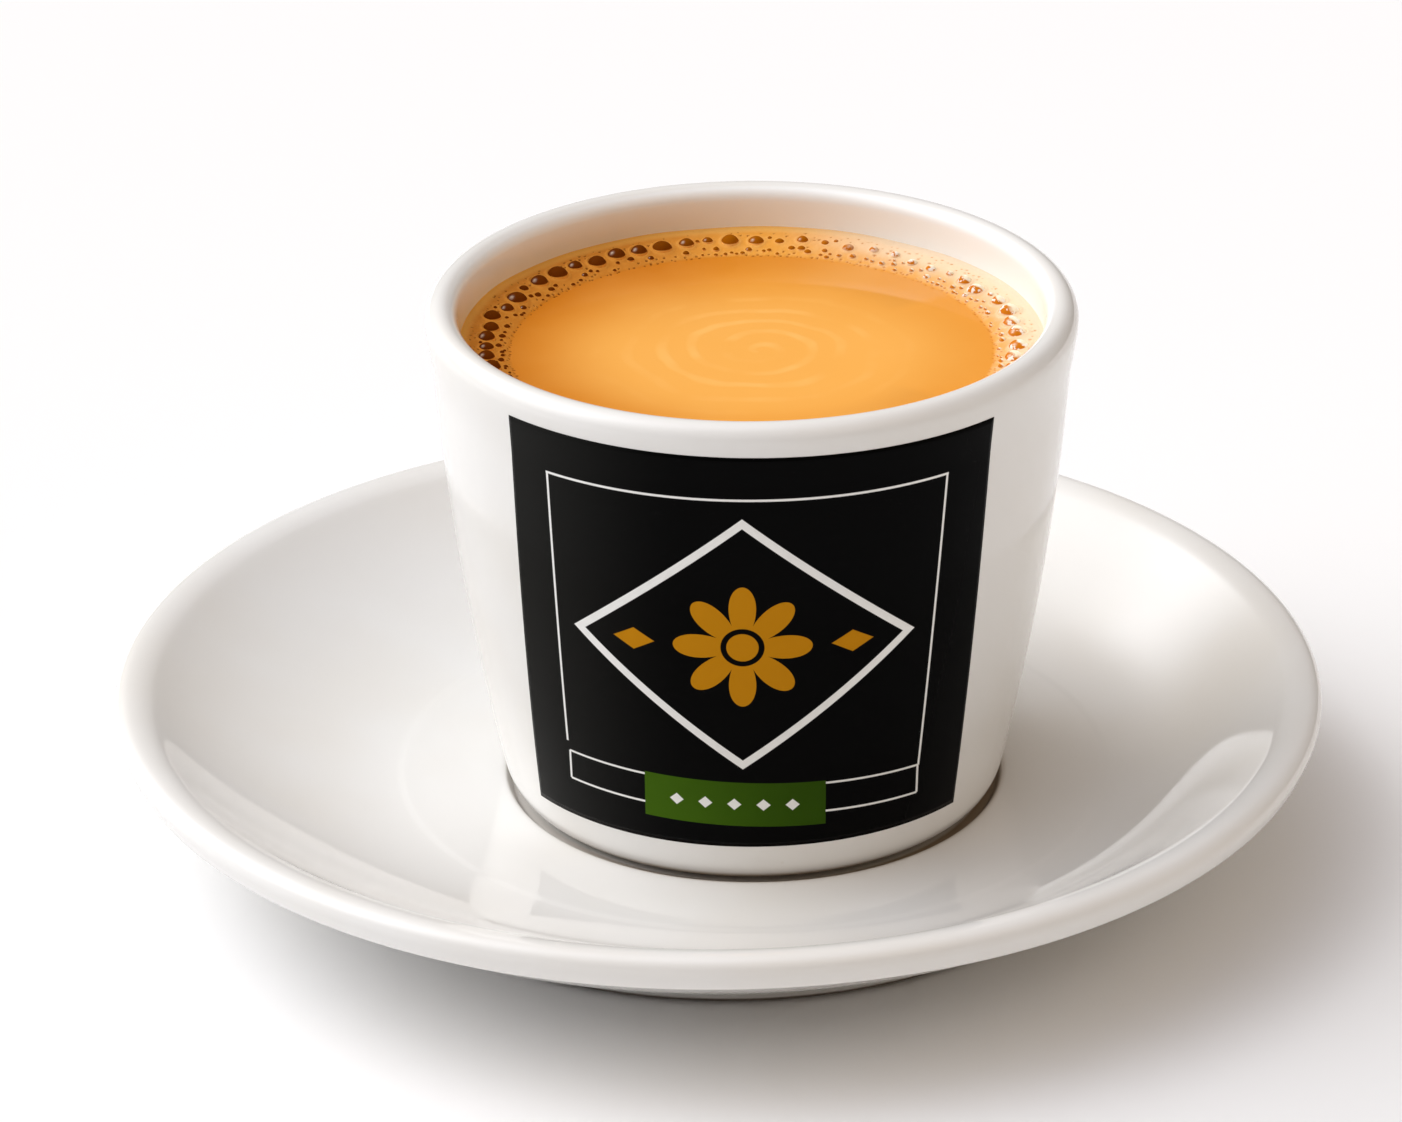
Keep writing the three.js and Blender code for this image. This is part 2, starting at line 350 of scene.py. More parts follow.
def glazeLook(name, s):
    # white glaze with slow waves, warmer clouds, a few specks, a bare foot darkened with painted
    # contact shadow and a brownish line of painted shade where cup and well meet; the cup is a cooler
    # white inside, and towards -X it has the thin film that the drink leaves above its edge, there
    # also standing in for painted shade and the tea's bounce light
    look = Look(name)
    g = glazeSettings
    place = look.place()
    x, y, z = look.millimetres()
    clouds = look.step(*g["cloudEdge"], look.noise(place, g["cloudScale"]))
    specks = look.fade(*g["speckEdge"], look.cells(place, g["speckScale"]))
    specks = specks * look.step(*g["patchEdge"], look.noise(place, g["patchScale"], 1.0))
    colour = look.mix(clouds, g["white"], g["warm"])
    colour = look.mix(specks * g["speckShare"], colour, g["biscuit"])
    foot = look.fade(*g["footEdge"], z - s["bareFoot"])
    grain = look.noise(place, g["grainScale"], 3.0)
    # the dark foot is painted contact shadow; its grain and roughness are the bare foot's own
    colour = look.mix(foot * (g["footShadeShare"] + (1 - g["footShadeShare"]) * grain), colour, g["footShadeTone"])
    fromAxis = x - cupShape["centreX"]
    out = fromAxis.size(y)
    side = fromAxis.over(out)
    if "filmHeights" in s:
        wall = bowedWall(z - cupShape["midHeight"]) - cupShape["wall"]
        inside = look.fade(*g["insideEdge"], out - wall)
        colour = look.mix(inside * look.step(*g["insideFrom"], z), colour, g["inside"])
        ragged = g["ragged"] * (look.noise(place, g["raggedScale"], 3.0) - 0.5)
        film = inside * look.step(*g["stainFrom"], z) * look.fade(*s["filmHeights"], z + ragged)
        # the film fades out towards +X; on the -X side it also stands for painted shade and the tea's orange
        # bounce light
        film = film * look.fade(*g["stainShadeSide"], side)
        colour = look.mix(film * g["stainAndShadeShare"], colour, g["stainAndShade"])
    # painted shade where cup and well meet, lighter towards -X where light falls
    inner, outer, low, high = s["wellShadeLine"]
    easeIn, easeOut = g["wellShadeEase"]
    line = look.step(inner, inner + easeIn, out) * look.fade(outer - easeOut, outer, out)
    line = line * look.fade(low, high, z)
    most = g["wellShadeLeft"] + g["wellShadeMore"] * look.step(*g["wellShadeSide"], side)
    colour = look.mix(line * most, colour, g["wellShadeTone"])
    waves = look.noise(place, g["waverScale"], 1.0) + g["rippleShare"] * look.noise(place, g["rippleScale"])
    normal = look.bump(waves, g["waverStrength"], g["waver"] * mm)
    normal = look.bump(grain * foot, g["grainStrength"], g["grain"] * mm, normal)
    rough = g["roughness"] + g["roughnessMore"] * look.noise(place, g["roughnessScale"])
    rough = rough + g["footRoughness"] * foot
    return look.finish(baseColour=colour, roughness=rough, ior=g["ior"], normal=normal)


# saucer

saucerShape = {
    "segments": 256,
    "rimRadius": 75.0, "rimTop": 21.1, "rollRadius": 1.7, "faceLean": 20.0, "faceLength": 1.5,
    "faceRound": 0.8, "rollInner": (70.2, 20.2), "rollTopRun": 1.6,
    "flatRadius": 43.8, "flatHeight": 8.2, "flankTop": (7.6, 6.0), "flankFoot": (10.7, 0.8),
    "ridgeRise": 0.07, "ridgeHalf": 0.2, "ridgeFoot": 0.6,
    "wellRadius": 31.0, "wellTop": 7.8, "wellFloor": 6.6, "wellWallRun": 0.7,
    "under": 4.3, "underStart": 2.2, "underRun": 12.0, "underRise": 2.6, "underEnd": 0.4,
    "footOuter": 47.3, "footInner": 43.6, "footRound": 0.7, "footDepth": 2.6,
    "footInset": 0.6, "footSpread": 0.8, "footDrop": 0.9,
    "footCentreX": 1.5, "wellCentreX": 4.4, "footEase": 3.0, "rimEase": 6.2,
    "softness": 0.3, "longestStep": 1.6, "turnStep": 7, "bareFoot": 0.8,
    "wellShadeLine": (28.6, 31.9, 7.9, 8.3),
}


def saucerProfile(s):
    # underside from the axis out to the rim, whose outer face leans in under a roll, then the flank,
    # a fine ridge where the flat begins, and the well
    roll, edge = s["rollRadius"], s["faceRound"]
    rollR, rollZ = s["rimRadius"] - roll, s["rimTop"] - roll
    lean = math.radians(s["faceLean"])
    edgeR = rollR + (roll - edge) * math.cos(lean) - s["faceLength"] * math.sin(lean)
    edgeZ = rollZ - (roll - edge) * math.sin(lean) - s["faceLength"] * math.cos(lean)
    rollInR, rollInZ = s["rollInner"]
    topRun, topDrop = s["flankTop"]
    footRun, footRise = s["flankFoot"]
    flatR, flatZ = s["flatRadius"], s["flatHeight"]
    ridgeZ = flatZ + s["ridgeRise"]
    outer, inner, footRound = s["footOuter"], s["footInner"], s["footRound"]
    under = s["under"]
    return np.concatenate([
        [(0, s["footDepth"]), (inner - s["footInset"], s["footDepth"])],
        [(inner, footRound), (inner + footRound, 0), (outer - footRound, 0), (outer, footRound)],
        [(outer + s["footSpread"], under - s["footDrop"])],
        bezierPoints([
            (outer + s["underStart"], under), (outer + s["underRun"], under + s["underRise"]),
            (edgeR - s["underEnd"], edgeZ - edge),
        ]),
        arcPoints(edgeR, edgeZ, edge, edge, -90, -s["faceLean"], count=12),
        arcPoints(rollR, rollZ, roll, roll, -s["faceLean"], 90, count=30),
        bezierPoints([
            (rollR, s["rimTop"]), (rollR - s["rollTopRun"], s["rimTop"]), (rollInR, rollInZ),
        ], count=12),
        bezierPoints([
            (rollInR, rollInZ), (rollInR - topRun, rollInZ - topDrop),
            (flatR + footRun, flatZ + footRise), (flatR + s["ridgeFoot"], flatZ),
        ], count=40),
        [(flatR + s["ridgeHalf"], ridgeZ), (flatR - s["ridgeHalf"], ridgeZ), (flatR - s["ridgeFoot"], flatZ)],
        [(s["wellRadius"], s["wellTop"]), (s["wellRadius"] - s["wellWallRun"], s["wellFloor"])],
        [(0, s["wellFloor"])],
    ])


def saucerCentre(s, profile):
    # the foot ring below and the well above stand a little to the right of the rim's middle
    reach = s["rimRadius"] - s["rimEase"]
    r = profile[:, 0]
    under = np.arange(len(r)) < np.argmax(r)
    foot = s["footCentreX"] * (1 - eased(s["footOuter"] + s["footEase"], reach, r))
    well = s["wellCentreX"] * (1 - eased(s["flatRadius"], reach, r))
    return np.where(under, foot, well)


# cup

cupShape = {
    "segments": 240, "centreX": 4.4,
    "baseHeight": 6.9, "rimHeight": 71.35, "midHeight": 40.0, "midRadius": 36.43,
    "taper": 0.1332, "bow": 0.0015, "flare": 0.54, "flareStart": 62.0,
    "lipHeight": 2.2, "lipInnerHeight": 2.0, "lipTopInset": 2.0, "wall": 3.4,
    "floorTop": 12.0, "innerCorner": 5.0, "footRadius": 27.2, "footRecessRadius": 22.5,
    "footRecess": 1.1, "edgeTop": 10.6, "edgeRun": 2.3, "edgeDrop": 2.0, "edgeDraw": 0.45,
    "softness": 0.25, "longestStep": 1.6, "turnStep": 7, "bareFoot": 7.2,
    "wellShadeLine": (27.0, 33.0, 7.6, 8.6), "filmHeights": (66.2, 70.0),
}


def bowedWall(u):
    # mid radius + taper u - bow u^2, u being the height over the middle, a number or a shader's socket
    c = cupShape
    return c["midRadius"] + c["taper"] * u - c["bow"] * u * u


def outerRadius(z):
    # the bowed wall with the flare under the lip
    c = cupShape
    flare = c["flare"] * eased(c["flareStart"], c["rimHeight"] - c["lipHeight"], z)
    return bowedWall(np.asarray(z, float) - c["midHeight"]) + flare


def innerRadius(z):
    # the bowed wall, in by its thickness
    return bowedWall(np.asarray(z, float) - cupShape["midHeight"]) - cupShape["wall"]


def cupProfile(c):
    # foot, rounded edge, outer wall, lip as two quarter ellipses, inner wall, corner and floor
    base, recess, corner = c["baseHeight"], c["footRecess"], c["innerCorner"]
    lipZ = c["rimHeight"] - c["lipHeight"]
    topR = outerRadius(lipZ) - c["lipTopInset"]
    innerZ = c["rimHeight"] - c["lipInnerHeight"]
    edgeZ = c["edgeTop"]
    edgeR = outerRadius(edgeZ)
    cornerZ = c["floorTop"] + corner
    outer = np.linspace(edgeZ, lipZ, 60)
    inner = np.linspace(innerZ, cornerZ, 50)
    return np.concatenate([
        [(0, base + recess), (c["footRecessRadius"], base + recess), (c["footRecessRadius"] + recess, base)],
        bezierPoints([
            (c["footRadius"], base), (c["footRadius"] + c["edgeRun"], base),
            (edgeR - c["edgeDraw"], edgeZ - c["edgeDrop"]), (edgeR, edgeZ),
        ]),
        np.stack([outerRadius(outer), outer], 1),
        arcPoints(topR, lipZ, c["lipTopInset"], c["lipHeight"], 0, 90, count=20),
        arcPoints(topR, innerZ, topR - innerRadius(innerZ), c["lipInnerHeight"], 90, 180, count=20),
        np.stack([innerRadius(inner), inner], 1),
        arcPoints(innerRadius(cornerZ) - corner, cornerZ, corner, corner, 0, -90, count=12),
        [(0, c["floorTop"])],
    ])


# the drink: level tea, and froth that climbs to the wall with bubbles in it

drinkShape = {
    "level": 64.5, "frothInner": 29.4, "frothRise": 1.2, "wallGap": 0.3,
    "intoWall": 0.25, "intoFloor": 0.1, "floorFrom": 4.0, "wallFrom": 20.0, "wallShort": 0.6,
    "coarse": 256, "finePerCoarse": 5, "teaRings": 24, "frothRings": 62, "frothStart": 28.3,
    # the froth's rise round small and large bubbles: its share of their size, then its place and
    # width as shares of their radius; and the window of grid that a bubble is tried on
    "pitCollar": (0.06, 1.15, 0.22), "domeCollar": (0.07, 1.05, 0.16), "domeTone": (1.12, 0.14),
    "pitEdge": (1.1, 0.6), "window": (0.85, 0.15),
    "creepRise": 0.35, "creepRun": 0.28,
    "swellRise": 0.05, "swellRun": 2.5,
    "swellWaves": [(5, 1.0, 1.0), (9, 2.2, 0.7), (17, 0.4, 0.5)],  # waves in the ring, start, share
}

bubbleRow = {
    "rowRadius": 32.4, "rowMost": 200, "rowDraws": 171, "wander": 0.45,
    "largest": 2.8, "smallest": 0.9, "narrowestSpace": 0.4, "widestSpace": 1.3,
    "innerRadius": 30.6, "innerSize": 0.95, "innerCount": 26, "innerWander": 0.6, "innerDraws": 500,
    "calmAngle": 62.0, "calmWidth": 24.0, "calmShare": 0.45,
}

fineBubbles = {
    "seed": 7, "uneven": 1.6, "jitter": 0.42, "domeFrom": 0.42,
    "largeShare": 0.54, "largeGap": 0.05, "smallGap": 0.04,
    "bands": [
        # from and to radius, spacing along the ring, smallest and largest size, share kept
        (29.20, 29.85, 0.52, 0.24, 0.40, 0.80),
        (29.80, 30.50, 0.72, 0.32, 0.72, 0.85),
        (30.40, 31.50, 1.05, 0.55, 1.15, 0.95),
        (31.30, 33.40, 0.90, 0.30, 0.90, 0.70),
        (33.40, 34.60, 0.80, 0.18, 0.41, 0.50),
    ],
}


def frothHeight(radius):
    # from the tea's level it climbs by a quarter sine to the wall
    d = drinkShape
    wall = innerRadius(d["level"]) - d["wallGap"]
    across = np.clip((radius - d["frothInner"]) / (wall - d["frothInner"]), 0, 1)
    return d["level"] + d["frothRise"] * np.sin(across * math.pi / 2)


def largeBubbles(b):
    # one row that fills the ring with uneven sizes and spaces, most of them large, smaller on one
    # stretch by a bell curve, then an even inner row that wanders; gives angle, radius and size of each
    i = np.arange(b["rowMost"]) + b["rowDraws"] / 3
    size = b["smallest"] + (b["largest"] - b["smallest"]) * drawn(3 * i) ** 0.5
    space = b["narrowestSpace"] + (b["widestSpace"] - b["narrowestSpace"]) * drawn(3 * i + 1)
    step = (size + space) / b["rowRadius"]
    end = np.cumsum(step)
    calm = bell(b["calmAngle"], b["calmWidth"], np.degrees(end - step / 2))
    size = size * (1 - b["calmShare"] * calm)
    row = np.stack([end - step / 2, b["rowRadius"] + b["wander"] * (2 * drawn(3 * i + 2) - 1), size], 1)
    row = row[end < 2 * math.pi]
    k = np.arange(b["innerCount"])
    turn = (k + b["innerWander"] * drawn(b["innerDraws"] + k)) / b["innerCount"]
    inner = np.stack([turn * 2 * math.pi, 0 * k + b["innerRadius"], 0 * k + b["innerSize"]], 1)
    return np.concatenate([row, inner])


def smallBubbles(b, large):
    # in each band a jittered row of rows, thinned by chance, without those that touch a larger bubble
    rng = np.random.default_rng(b["seed"])
    jitter = b["jitter"]
    found = []
    for low, high, spacing, least, most, share in b["bands"]:
        rows = max(1, round((high - low) / spacing))
        count = int(2 * math.pi * (low + high) / 2 / spacing)
        row, j = np.meshgrid(np.arange(rows), np.arange(count), indexing="ij")
        angle = (j + 0.5 * (row % 2) + rng.uniform(-jitter, jitter, row.shape)) / count * 2 * math.pi
        radius = low + (row + 0.5 + rng.uniform(-jitter, jitter, row.shape)) * (high - low) / rows
        size = least + (most - least) * rng.uniform(0, 1, row.shape) ** b["uneven"]
        kept = rng.uniform(0, 1, row.shape) < share
        found.append(np.stack([angle[kept], radius[kept], size[kept]], 1))
    found = np.concatenate(found)
    found = found[np.argsort(-found[:, 2])]
    spots = flat(found)
    apart = np.linalg.norm(spots[:, None] - flat(large)[None], axis=2)
    needed = 0.5 * found[:, None, 2] + b["largeShare"] * large[None, :, 2] + b["largeGap"]
    clear = (apart > needed).all(1)
    found, spots = found[clear], spots[clear]
    apart = np.linalg.norm(spots[:, None] - spots[None], axis=2)
    close = apart < 0.5 * (found[:, None, 2] + found[None, :, 2]) + b["smallGap"]
    return found[~np.tril(close, -1).any(1)]


def flat(bubbles):
    # x and y of bubbles given as angle, radius and size, about the cup's axis
    return np.stack([bubbles[:, 1] * np.cos(bubbles[:, 0]), bubbles[:, 1] * np.sin(bubbles[:, 0])], 1)


def nearness(radii, count, bubbles):
    # for each point of the polar grid, the distance to the nearest bubble's middle over that
    # bubble's own radius, and its size; each bubble is tried on a window of the grid round it, and
    # points that no window holds are left at a share that counts as far
    far = 9.0
    shares = np.full((len(radii), count), far)
    size = np.zeros_like(shares)
    windowShare, windowEdge = drinkShape["window"]
    angles = np.arange(count) * 2 * math.pi / count
    for angle, radius, width in bubbles:
        reach = windowShare * width + windowEdge
        rows = np.where(np.abs(radii - radius) < reach)[0]
        if not len(rows):
            continue
        middle = round(angle / (2 * math.pi) * count)
        half = int(reach / radius / (2 * math.pi) * count) + 1
        columns = (middle + np.arange(-half, half + 1)) % count
        turn = (angles[columns] - angle + math.pi) % (2 * math.pi) - math.pi
        r = radii[rows][:, None]
        apart = np.sqrt(r * r + radius * radius - 2 * r * radius * np.cos(turn)[None])
        share = apart / (width / 2)
        block = np.ix_(rows, columns)
        nearer = share < shares[block]
        shares[block] = np.where(nearer, share, shares[block])
        size[block] = np.where(nearer, width, size[block])
    return shares, size


def drinkMesh(large, small):
    # rings from the bottom of the drink out, up the wall, and in over the froth and the tea; froth
    # rings are finer, sink into half a ball inside each small bubble, and rise in a collar round all
    d, c = drinkShape, cupShape
    fine = d["coarse"] * d["finePerCoarse"]
    wallTop = d["level"] + d["frothRise"]
    bottom = c["floorTop"] - d["intoFloor"]
    corner = c["innerCorner"]
    cornerR = innerRadius(bottom + corner) + d["intoWall"] - corner
    upWall = np.linspace(d["wallFrom"], wallTop - d["wallShort"], 12)
    outside = np.concatenate([
        np.linspace((d["floorFrom"], bottom), (cornerR, bottom), 6)[:-1],
        arcPoints(cornerR, bottom + corner, corner, corner, -90, 0, count=10),
        [(innerRadius(z) + d["intoWall"], z) for z in upWall],
    ])
    rings = [ring(d["coarse"], r, z, c["centreX"]) for r, z in outside]
    wallR = innerRadius(wallTop) + d["intoWall"]
    radii = np.linspace(wallR, d["frothStart"], d["frothRings"])
    pitShare, pitSize = nearness(radii, fine, small)
    domeShare, domeSize = nearness(radii, fine, large)
    bowl = np.sqrt(np.clip(1 - pitShare ** 2, 0, 1)) * pitSize * 0.5
    pitRise, *pitRing = d["pitCollar"]
    domeRise, *domeRing = d["domeCollar"]
    collar = pitSize * pitRise * bell(*pitRing, pitShare)
    collar += domeSize * domeRise * bell(*domeRing, domeShare)
    height = frothHeight(radii)[:, None] + collar - bowl
    height += meniscus(radii)[:, None] + swell(radii, fine)
    for r, heights in zip(radii, height):
        rings.append(ring(fine, r, heights, c["centreX"]))
    teaRadii = np.linspace(d["frothStart"], 0, d["teaRings"] + 1)[1:-1]
    rings += [ring(d["coarse"], r, d["level"], c["centreX"]) for r in teaRadii]
    points, faces = ringedSolid(rings, (c["centreX"], 0, bottom), (c["centreX"], 0, d["level"]))
    before = 1 + len(outside) * d["coarse"]
    after = len(points) - before - pitShare.size
    masks = {
        "pit": eased(*d["pitEdge"], pitShare),
        "collar": bell(*pitRing, pitShare) + bell(*d["domeTone"], domeShare),
    }
    masks = {key: np.pad(values.ravel(), (before, after)) for key, values in masks.items()}
    return points, faces, masks


def meniscus(radii):
    # rise exp((radius - wall) / run): the last half millimetre creeps up the wall
    d = drinkShape
    wall = innerRadius(d["level"] + d["frothRise"])
    return d["creepRise"] * np.exp((radii - wall) / d["creepRun"])


def swell(radii, count):
    # slow uneven rise and fall of the froth along the ring, a sum of sines, none at the tea
    d = drinkShape
    a = np.arange(count)[None] * 2 * math.pi / count
    wave = sum(share * np.sin(times * a + start) for times, start, share in d["swellWaves"])
    inward = eased(d["frothInner"], d["frothInner"] + d["swellRun"], radii)[:, None]
    return d["swellRise"] * inward * wave


domeShape = {
    "around": 24, "rings": 9, "sunk": 0.3, "seed": 11, "uneven": 0.10,
    "highlightSpotShare": 0.5, "glintShare": 0.9,
}

smallDomeShape = {
    "around": 12, "rings": 4, "sunk": 0.3, "seed": 12, "uneven": 0.18,
    "highlightSpotShare": 0.0, "glintShare": 0.1,
}

domeLight = {
    # directions from a bubble's middle, placing painted light and painted highlights on it
    "glow": (0.5, -0.36, -0.77), "shine": (0.66, 0.317, 0.68), "highlightSpot": (-0.45, -0.5, 0.73),
    "highlightSpotWide": 0.16,
}


def domeMesh(bubbles, p, light):
    # each bubble is the upper half of a ball sunk by a share of its radius into the froth, a little
    # longer or wider at random; lift is the height over the froth, 1 at the top, glow and shine the
    # place of a point of the ball along two directions, which set painted light inside it and a painted
    # highlight on its film; then a small round painted highlight spot on its film, how white its painted
    # glints are, and side the cosine of the bubble's place in the ring
    rng = np.random.default_rng(p["seed"])
    angle, radius, size = bubbles.T
    half = 0.5 * size
    stretch = 1 + p["uneven"] * rng.uniform(-1, 1, (2, len(size)))
    t = np.linspace(0, 1, p["rings"] + 1)[:-1] * math.pi / 2
    around = p["around"]
    a = np.arange(around) * 2 * math.pi / around
    level = half[:, None, None] * np.cos(t)[None, :, None]
    x = level * np.cos(a) * stretch[0][:, None, None]
    y = level * np.sin(a) * stretch[1][:, None, None]
    z = half[:, None, None] * np.sin(t)[None, :, None] + 0 * a
    floor = np.zeros((len(size), 1, 3))
    top = floor + half[:, None, None] * np.array([0, 0, 1])
    local = np.concatenate([floor, np.stack([x, y, z], 3).reshape(len(size), -1, 3), top], 1)
    middle = flat(bubbles)
    sunk = p["sunk"] * half
    centre = np.stack([cupShape["centreX"] + middle[:, 0], middle[:, 1], frothHeight(radius) - sunk], 1)
    points = local + centre[:, None]
    each = points.shape[1]
    one = [fan(0, 1, around, False)]
    for i in range(p["rings"] - 1):
        one.append(strip(1 + i * around, around, 1 + (i + 1) * around, around))
    one.append(fan(each - 1, each - 1 - around, around, True))
    shift = np.arange(len(size))[:, None, None] * each
    faces = [(part[None] + shift).reshape(-1, part.shape[1]) for part in one]

    unit = local / half[:, None, None]
    spot = np.linalg.norm(unit - np.array(light["highlightSpot"]), axis=2)
    shown = rng.uniform(0, 1, len(size)) < p["highlightSpotShare"]
    masks = {
        "lift": (local[..., 2] - sunk[:, None]) / (half - sunk)[:, None],
        "glow": unit @ np.array(light["glow"]),
        "shine": unit @ np.array(light["shine"]),
        "highlightSpot": bell(0, light["highlightSpotWide"], spot) * shown[:, None],
        "glint": np.full(spot.shape, p["glintShare"]),
        "side": np.repeat(np.cos(angle), each),
    }
    return points.reshape(-1, 3), faces, {key: values.ravel() for key, values in masks.items()}


def joinedMeshes(first, second):
    # the second mesh's faces count on from the first one's points
    points = np.concatenate([first[0], second[0]])
    faces = first[1] + [part + len(first[0]) for part in second[1]]
    masks = {key: np.concatenate([first[2][key], second[2][key]]) for key in first[2]}
    return points, faces, masks


teaColours = {
    # froth tones: brown at the left is painted shade and cream at the right painted light, likewise the wall
    # tones by side below
    "tea": (0.90, 0.43, 0.09), "pale": (0.95, 0.52, 0.15), "brown": (0.62, 0.23, 0.03),
    # film is also the colour of the painted highlight on the right-hand bubbles
    "golden": (0.83, 0.37, 0.06), "cream": (0.87, 0.645, 0.42), "film": (0.95, 0.87, 0.66),
    # whites of painted highlight spots and painted glints on the bubbles
    "highlightSpot": (0.95, 0.85, 0.72), "glint": (0.97, 0.93, 0.86), "edgeShadeDark": (0.50, 0.13, 0.002),
    # the tea's edge by side, and the darkest tone before it: painted shade from the wall
    "edgeShadeLeft": (0.63, 0.20, 0.011), "edgeShadeBack": (0.73, 0.26, 0.018), "edgeShadeRight": (0.77, 0.31, 0.043),
    "wallLeft": (0.84, 0.42, 0.085), "wallBack": (0.88, 0.49, 0.13), "wallRight": (0.82, 0.64, 0.45),
    # bubble hollows by side: dark at the left in painted shade, orange at the right in painted light
    "hollowLeft": (0.14, 0.030, 0.0015), "hollowBack": (0.38, 0.11, 0.002),
    "hollowRight": (0.62, 0.19, 0.010),
}

teaPattern = {
    # pairs are from and to, in mm from the cup's axis or along the ring's side: -1 at the left, 0 at
    # the back and the front, 1 at the right
    "leftToBack": (-0.5, 0.05), "backToRight": (0.05, 0.6),
    # rings of paler milk, and clouds
    "swirlCentre": (5.2, -0.8), "ringEvery": 3.9, "ringLine": (0.1, 1.0), "ringsOut": (5.0, 23.0),
    "wobble": 5.0, "wobbleScale": 75.0, "gapScale": 120.0, "gapEdge": (0.35, 0.7), "ringShare": 0.75,
    "cloudScale": 60.0, "cloudEdge": (0.35, 0.75), "cloudShare": 0.12,
    # painted shade from the wall: darker tones towards the edge, more so at the back and the left
    "edgeOut": (12.0, 30.0), "edgePower": 1.5, "backOut": (6.0, 24.0), "backShare": 0.5,
    "darkShadeOut": (20.0, 28.0), "darkShadeBack": (0.3, 0.9), "darkShadeSide": (0.1, 0.6), "darkShadeShare": 0.25,
    # froth
    "frothOut": (29.2, 29.9), "frothWander": 0.5, "wanderScale": 500.0,
    "frothTone": 0.12, "toneOut": (29.8, 33.6), "wallOut": (34.0, 35.2), "wallShare": 0.9,
    "mottleScale": 650.0, "mottleEdge": (0.4, 0.8), "mottleShare": 0.3, "collarShare": 0.4,
    # relief, and the wet film, glossier towards the right, though on the tea not at the far right
    "cellScale": 2300.0, "cellStrength": 0.4, "cellDepth": 0.1, "ringStrength": 0.1, "ringDepth": 0.2,
    "sheenSide": (0.1, 0.6), "sheenEnd": (0.80, 0.86), "sheenOut": (19.0, 24.0),
    "film": 0.12, "filmSheen": 0.6, "filmLost": 0.4,
    "roughness": 0.4, "ior": 1.05, "filmRoughness": 0.05, "filmIor": 1.33,
}


def sideTone(look, side, left, back, right):
    # three of the tea's colours round the ring: painted shade at the left, painted light at the right
    colour = look.mix(look.step(*teaPattern["leftToBack"], side), teaColours[left], teaColours[back])
    return look.mix(look.step(*teaPattern["backToRight"], side), colour, teaColours[right])


def teaLook(name):
    # milky tea with faint broken rings of paler milk round a centre off the middle, darker at its
    # edge with painted shade from the wall, most at the back; over it the froth, brown at the left in
    # painted shade, golden at the back, cream at the right in painted light and pale where it thins
    # against the wall, with dark hollows in it, whose tones by side are painted shade and painted light
    look = Look(name)
    t = teaColours
    p = teaPattern
    place = look.place()
    x, y, z = look.millimetres()
    fromAxis = x - cupShape["centreX"]
    radius = fromAxis.size(y)
    side = fromAxis.over(radius)
    back = y.over(radius)
    dx = x - p["swirlCentre"][0]
    dy = y - p["swirlCentre"][1]
    out = dx.size(dy)
    wobble = look.noise(place, p["wobbleScale"]) * p["wobble"]
    wave = (out + wobble) * (2 * math.pi / p["ringEvery"]) + dy.through("ARCTAN2", dx)
    rings = look.step(*p["ringLine"], wave.through("SINE")) * look.fade(*p["ringsOut"], out)
    rings = rings * look.step(*p["gapEdge"], look.noise(place, p["gapScale"]))
    clouds = look.step(*p["cloudEdge"], look.noise(place, p["cloudScale"], 3.0))
    # painted shade cast by the wall over the tea's edge, deepest at the back and the left
    reach = look.step(*p["edgeOut"], radius) ** p["edgePower"]
    further = look.step(*p["backOut"], radius) * look.step(0.0, 1.0, back) * p["backShare"]
    reach = reach + (1.0 - reach) * further
    colour = look.mix(reach, t["tea"], sideTone(look, side, "edgeShadeLeft", "edgeShadeBack", "edgeShadeRight"))
    darkShade = look.step(*p["darkShadeOut"], radius) * look.step(*p["darkShadeBack"], back)
    darkShade = darkShade * look.fade(*p["darkShadeSide"], side)
    colour = look.mix(darkShade * p["darkShadeShare"], colour, t["edgeShadeDark"])
    colour = look.mix(rings * p["ringShare"] + clouds * p["cloudShare"], colour, t["pale"])

    wander = p["frothWander"] * (look.noise(place, p["wanderScale"]) - 0.5)
    foam = look.step(*p["frothOut"], radius + wander)
    outward = p["frothTone"] + (1 - p["frothTone"]) * look.step(*p["toneOut"], radius)
    # froth by side: painted shade at the left, painted light at the right
    bright = sideTone(look, side, "golden", "pale", "cream")
    ground = look.mix(outward, sideTone(look, side, "brown", "golden", "golden"),
                      sideTone(look, side, "brown", "golden", "cream"))
    mottled = look.step(*p["mottleEdge"], look.noise(place, p["mottleScale"], 3.0))
    ground = look.mix(mottled * p["mottleShare"], ground, bright)
    outermost = look.step(*p["wallOut"], radius) * p["wallShare"]
    ground = look.mix(outermost, ground, sideTone(look, side, "wallLeft", "wallBack", "wallRight"))
    colour = look.mix(foam, colour, ground)
    # a paler ring round the bubbles, partly thin film and partly a painted highlight
    colour = look.mix(look.attribute("collar") * foam * p["collarShare"], colour, bright)
    pit = look.attribute("pit")
    # the pits' tones by side: painted shade at the left, painted light at the right
    colour = look.mix(pit, colour, sideTone(look, side, "hollowLeft", "hollowBack", "hollowRight"))
    normal = look.bump(look.cells(place, p["cellScale"]) * foam, p["cellStrength"], p["cellDepth"] * mm)
    normal = look.bump(rings * (1.0 - foam), p["ringStrength"], p["ringDepth"] * mm, normal)
    sheen = look.step(*p["sheenSide"], side) * (1.0 - look.step(*p["sheenEnd"], side) * (1.0 - foam))
    sheen = sheen * look.step(*p["sheenOut"], radius)
    film = (1.0 - pit) * (p["film"] + p["filmSheen"] * sheen) * (1.0 - p["filmLost"] * foam)
    return look.finish(
        baseColour=colour, roughness=p["roughness"], ior=p["ior"], normal=normal,
        coat=film, coatRoughness=p["filmRoughness"], coatIor=p["filmIor"],
    )


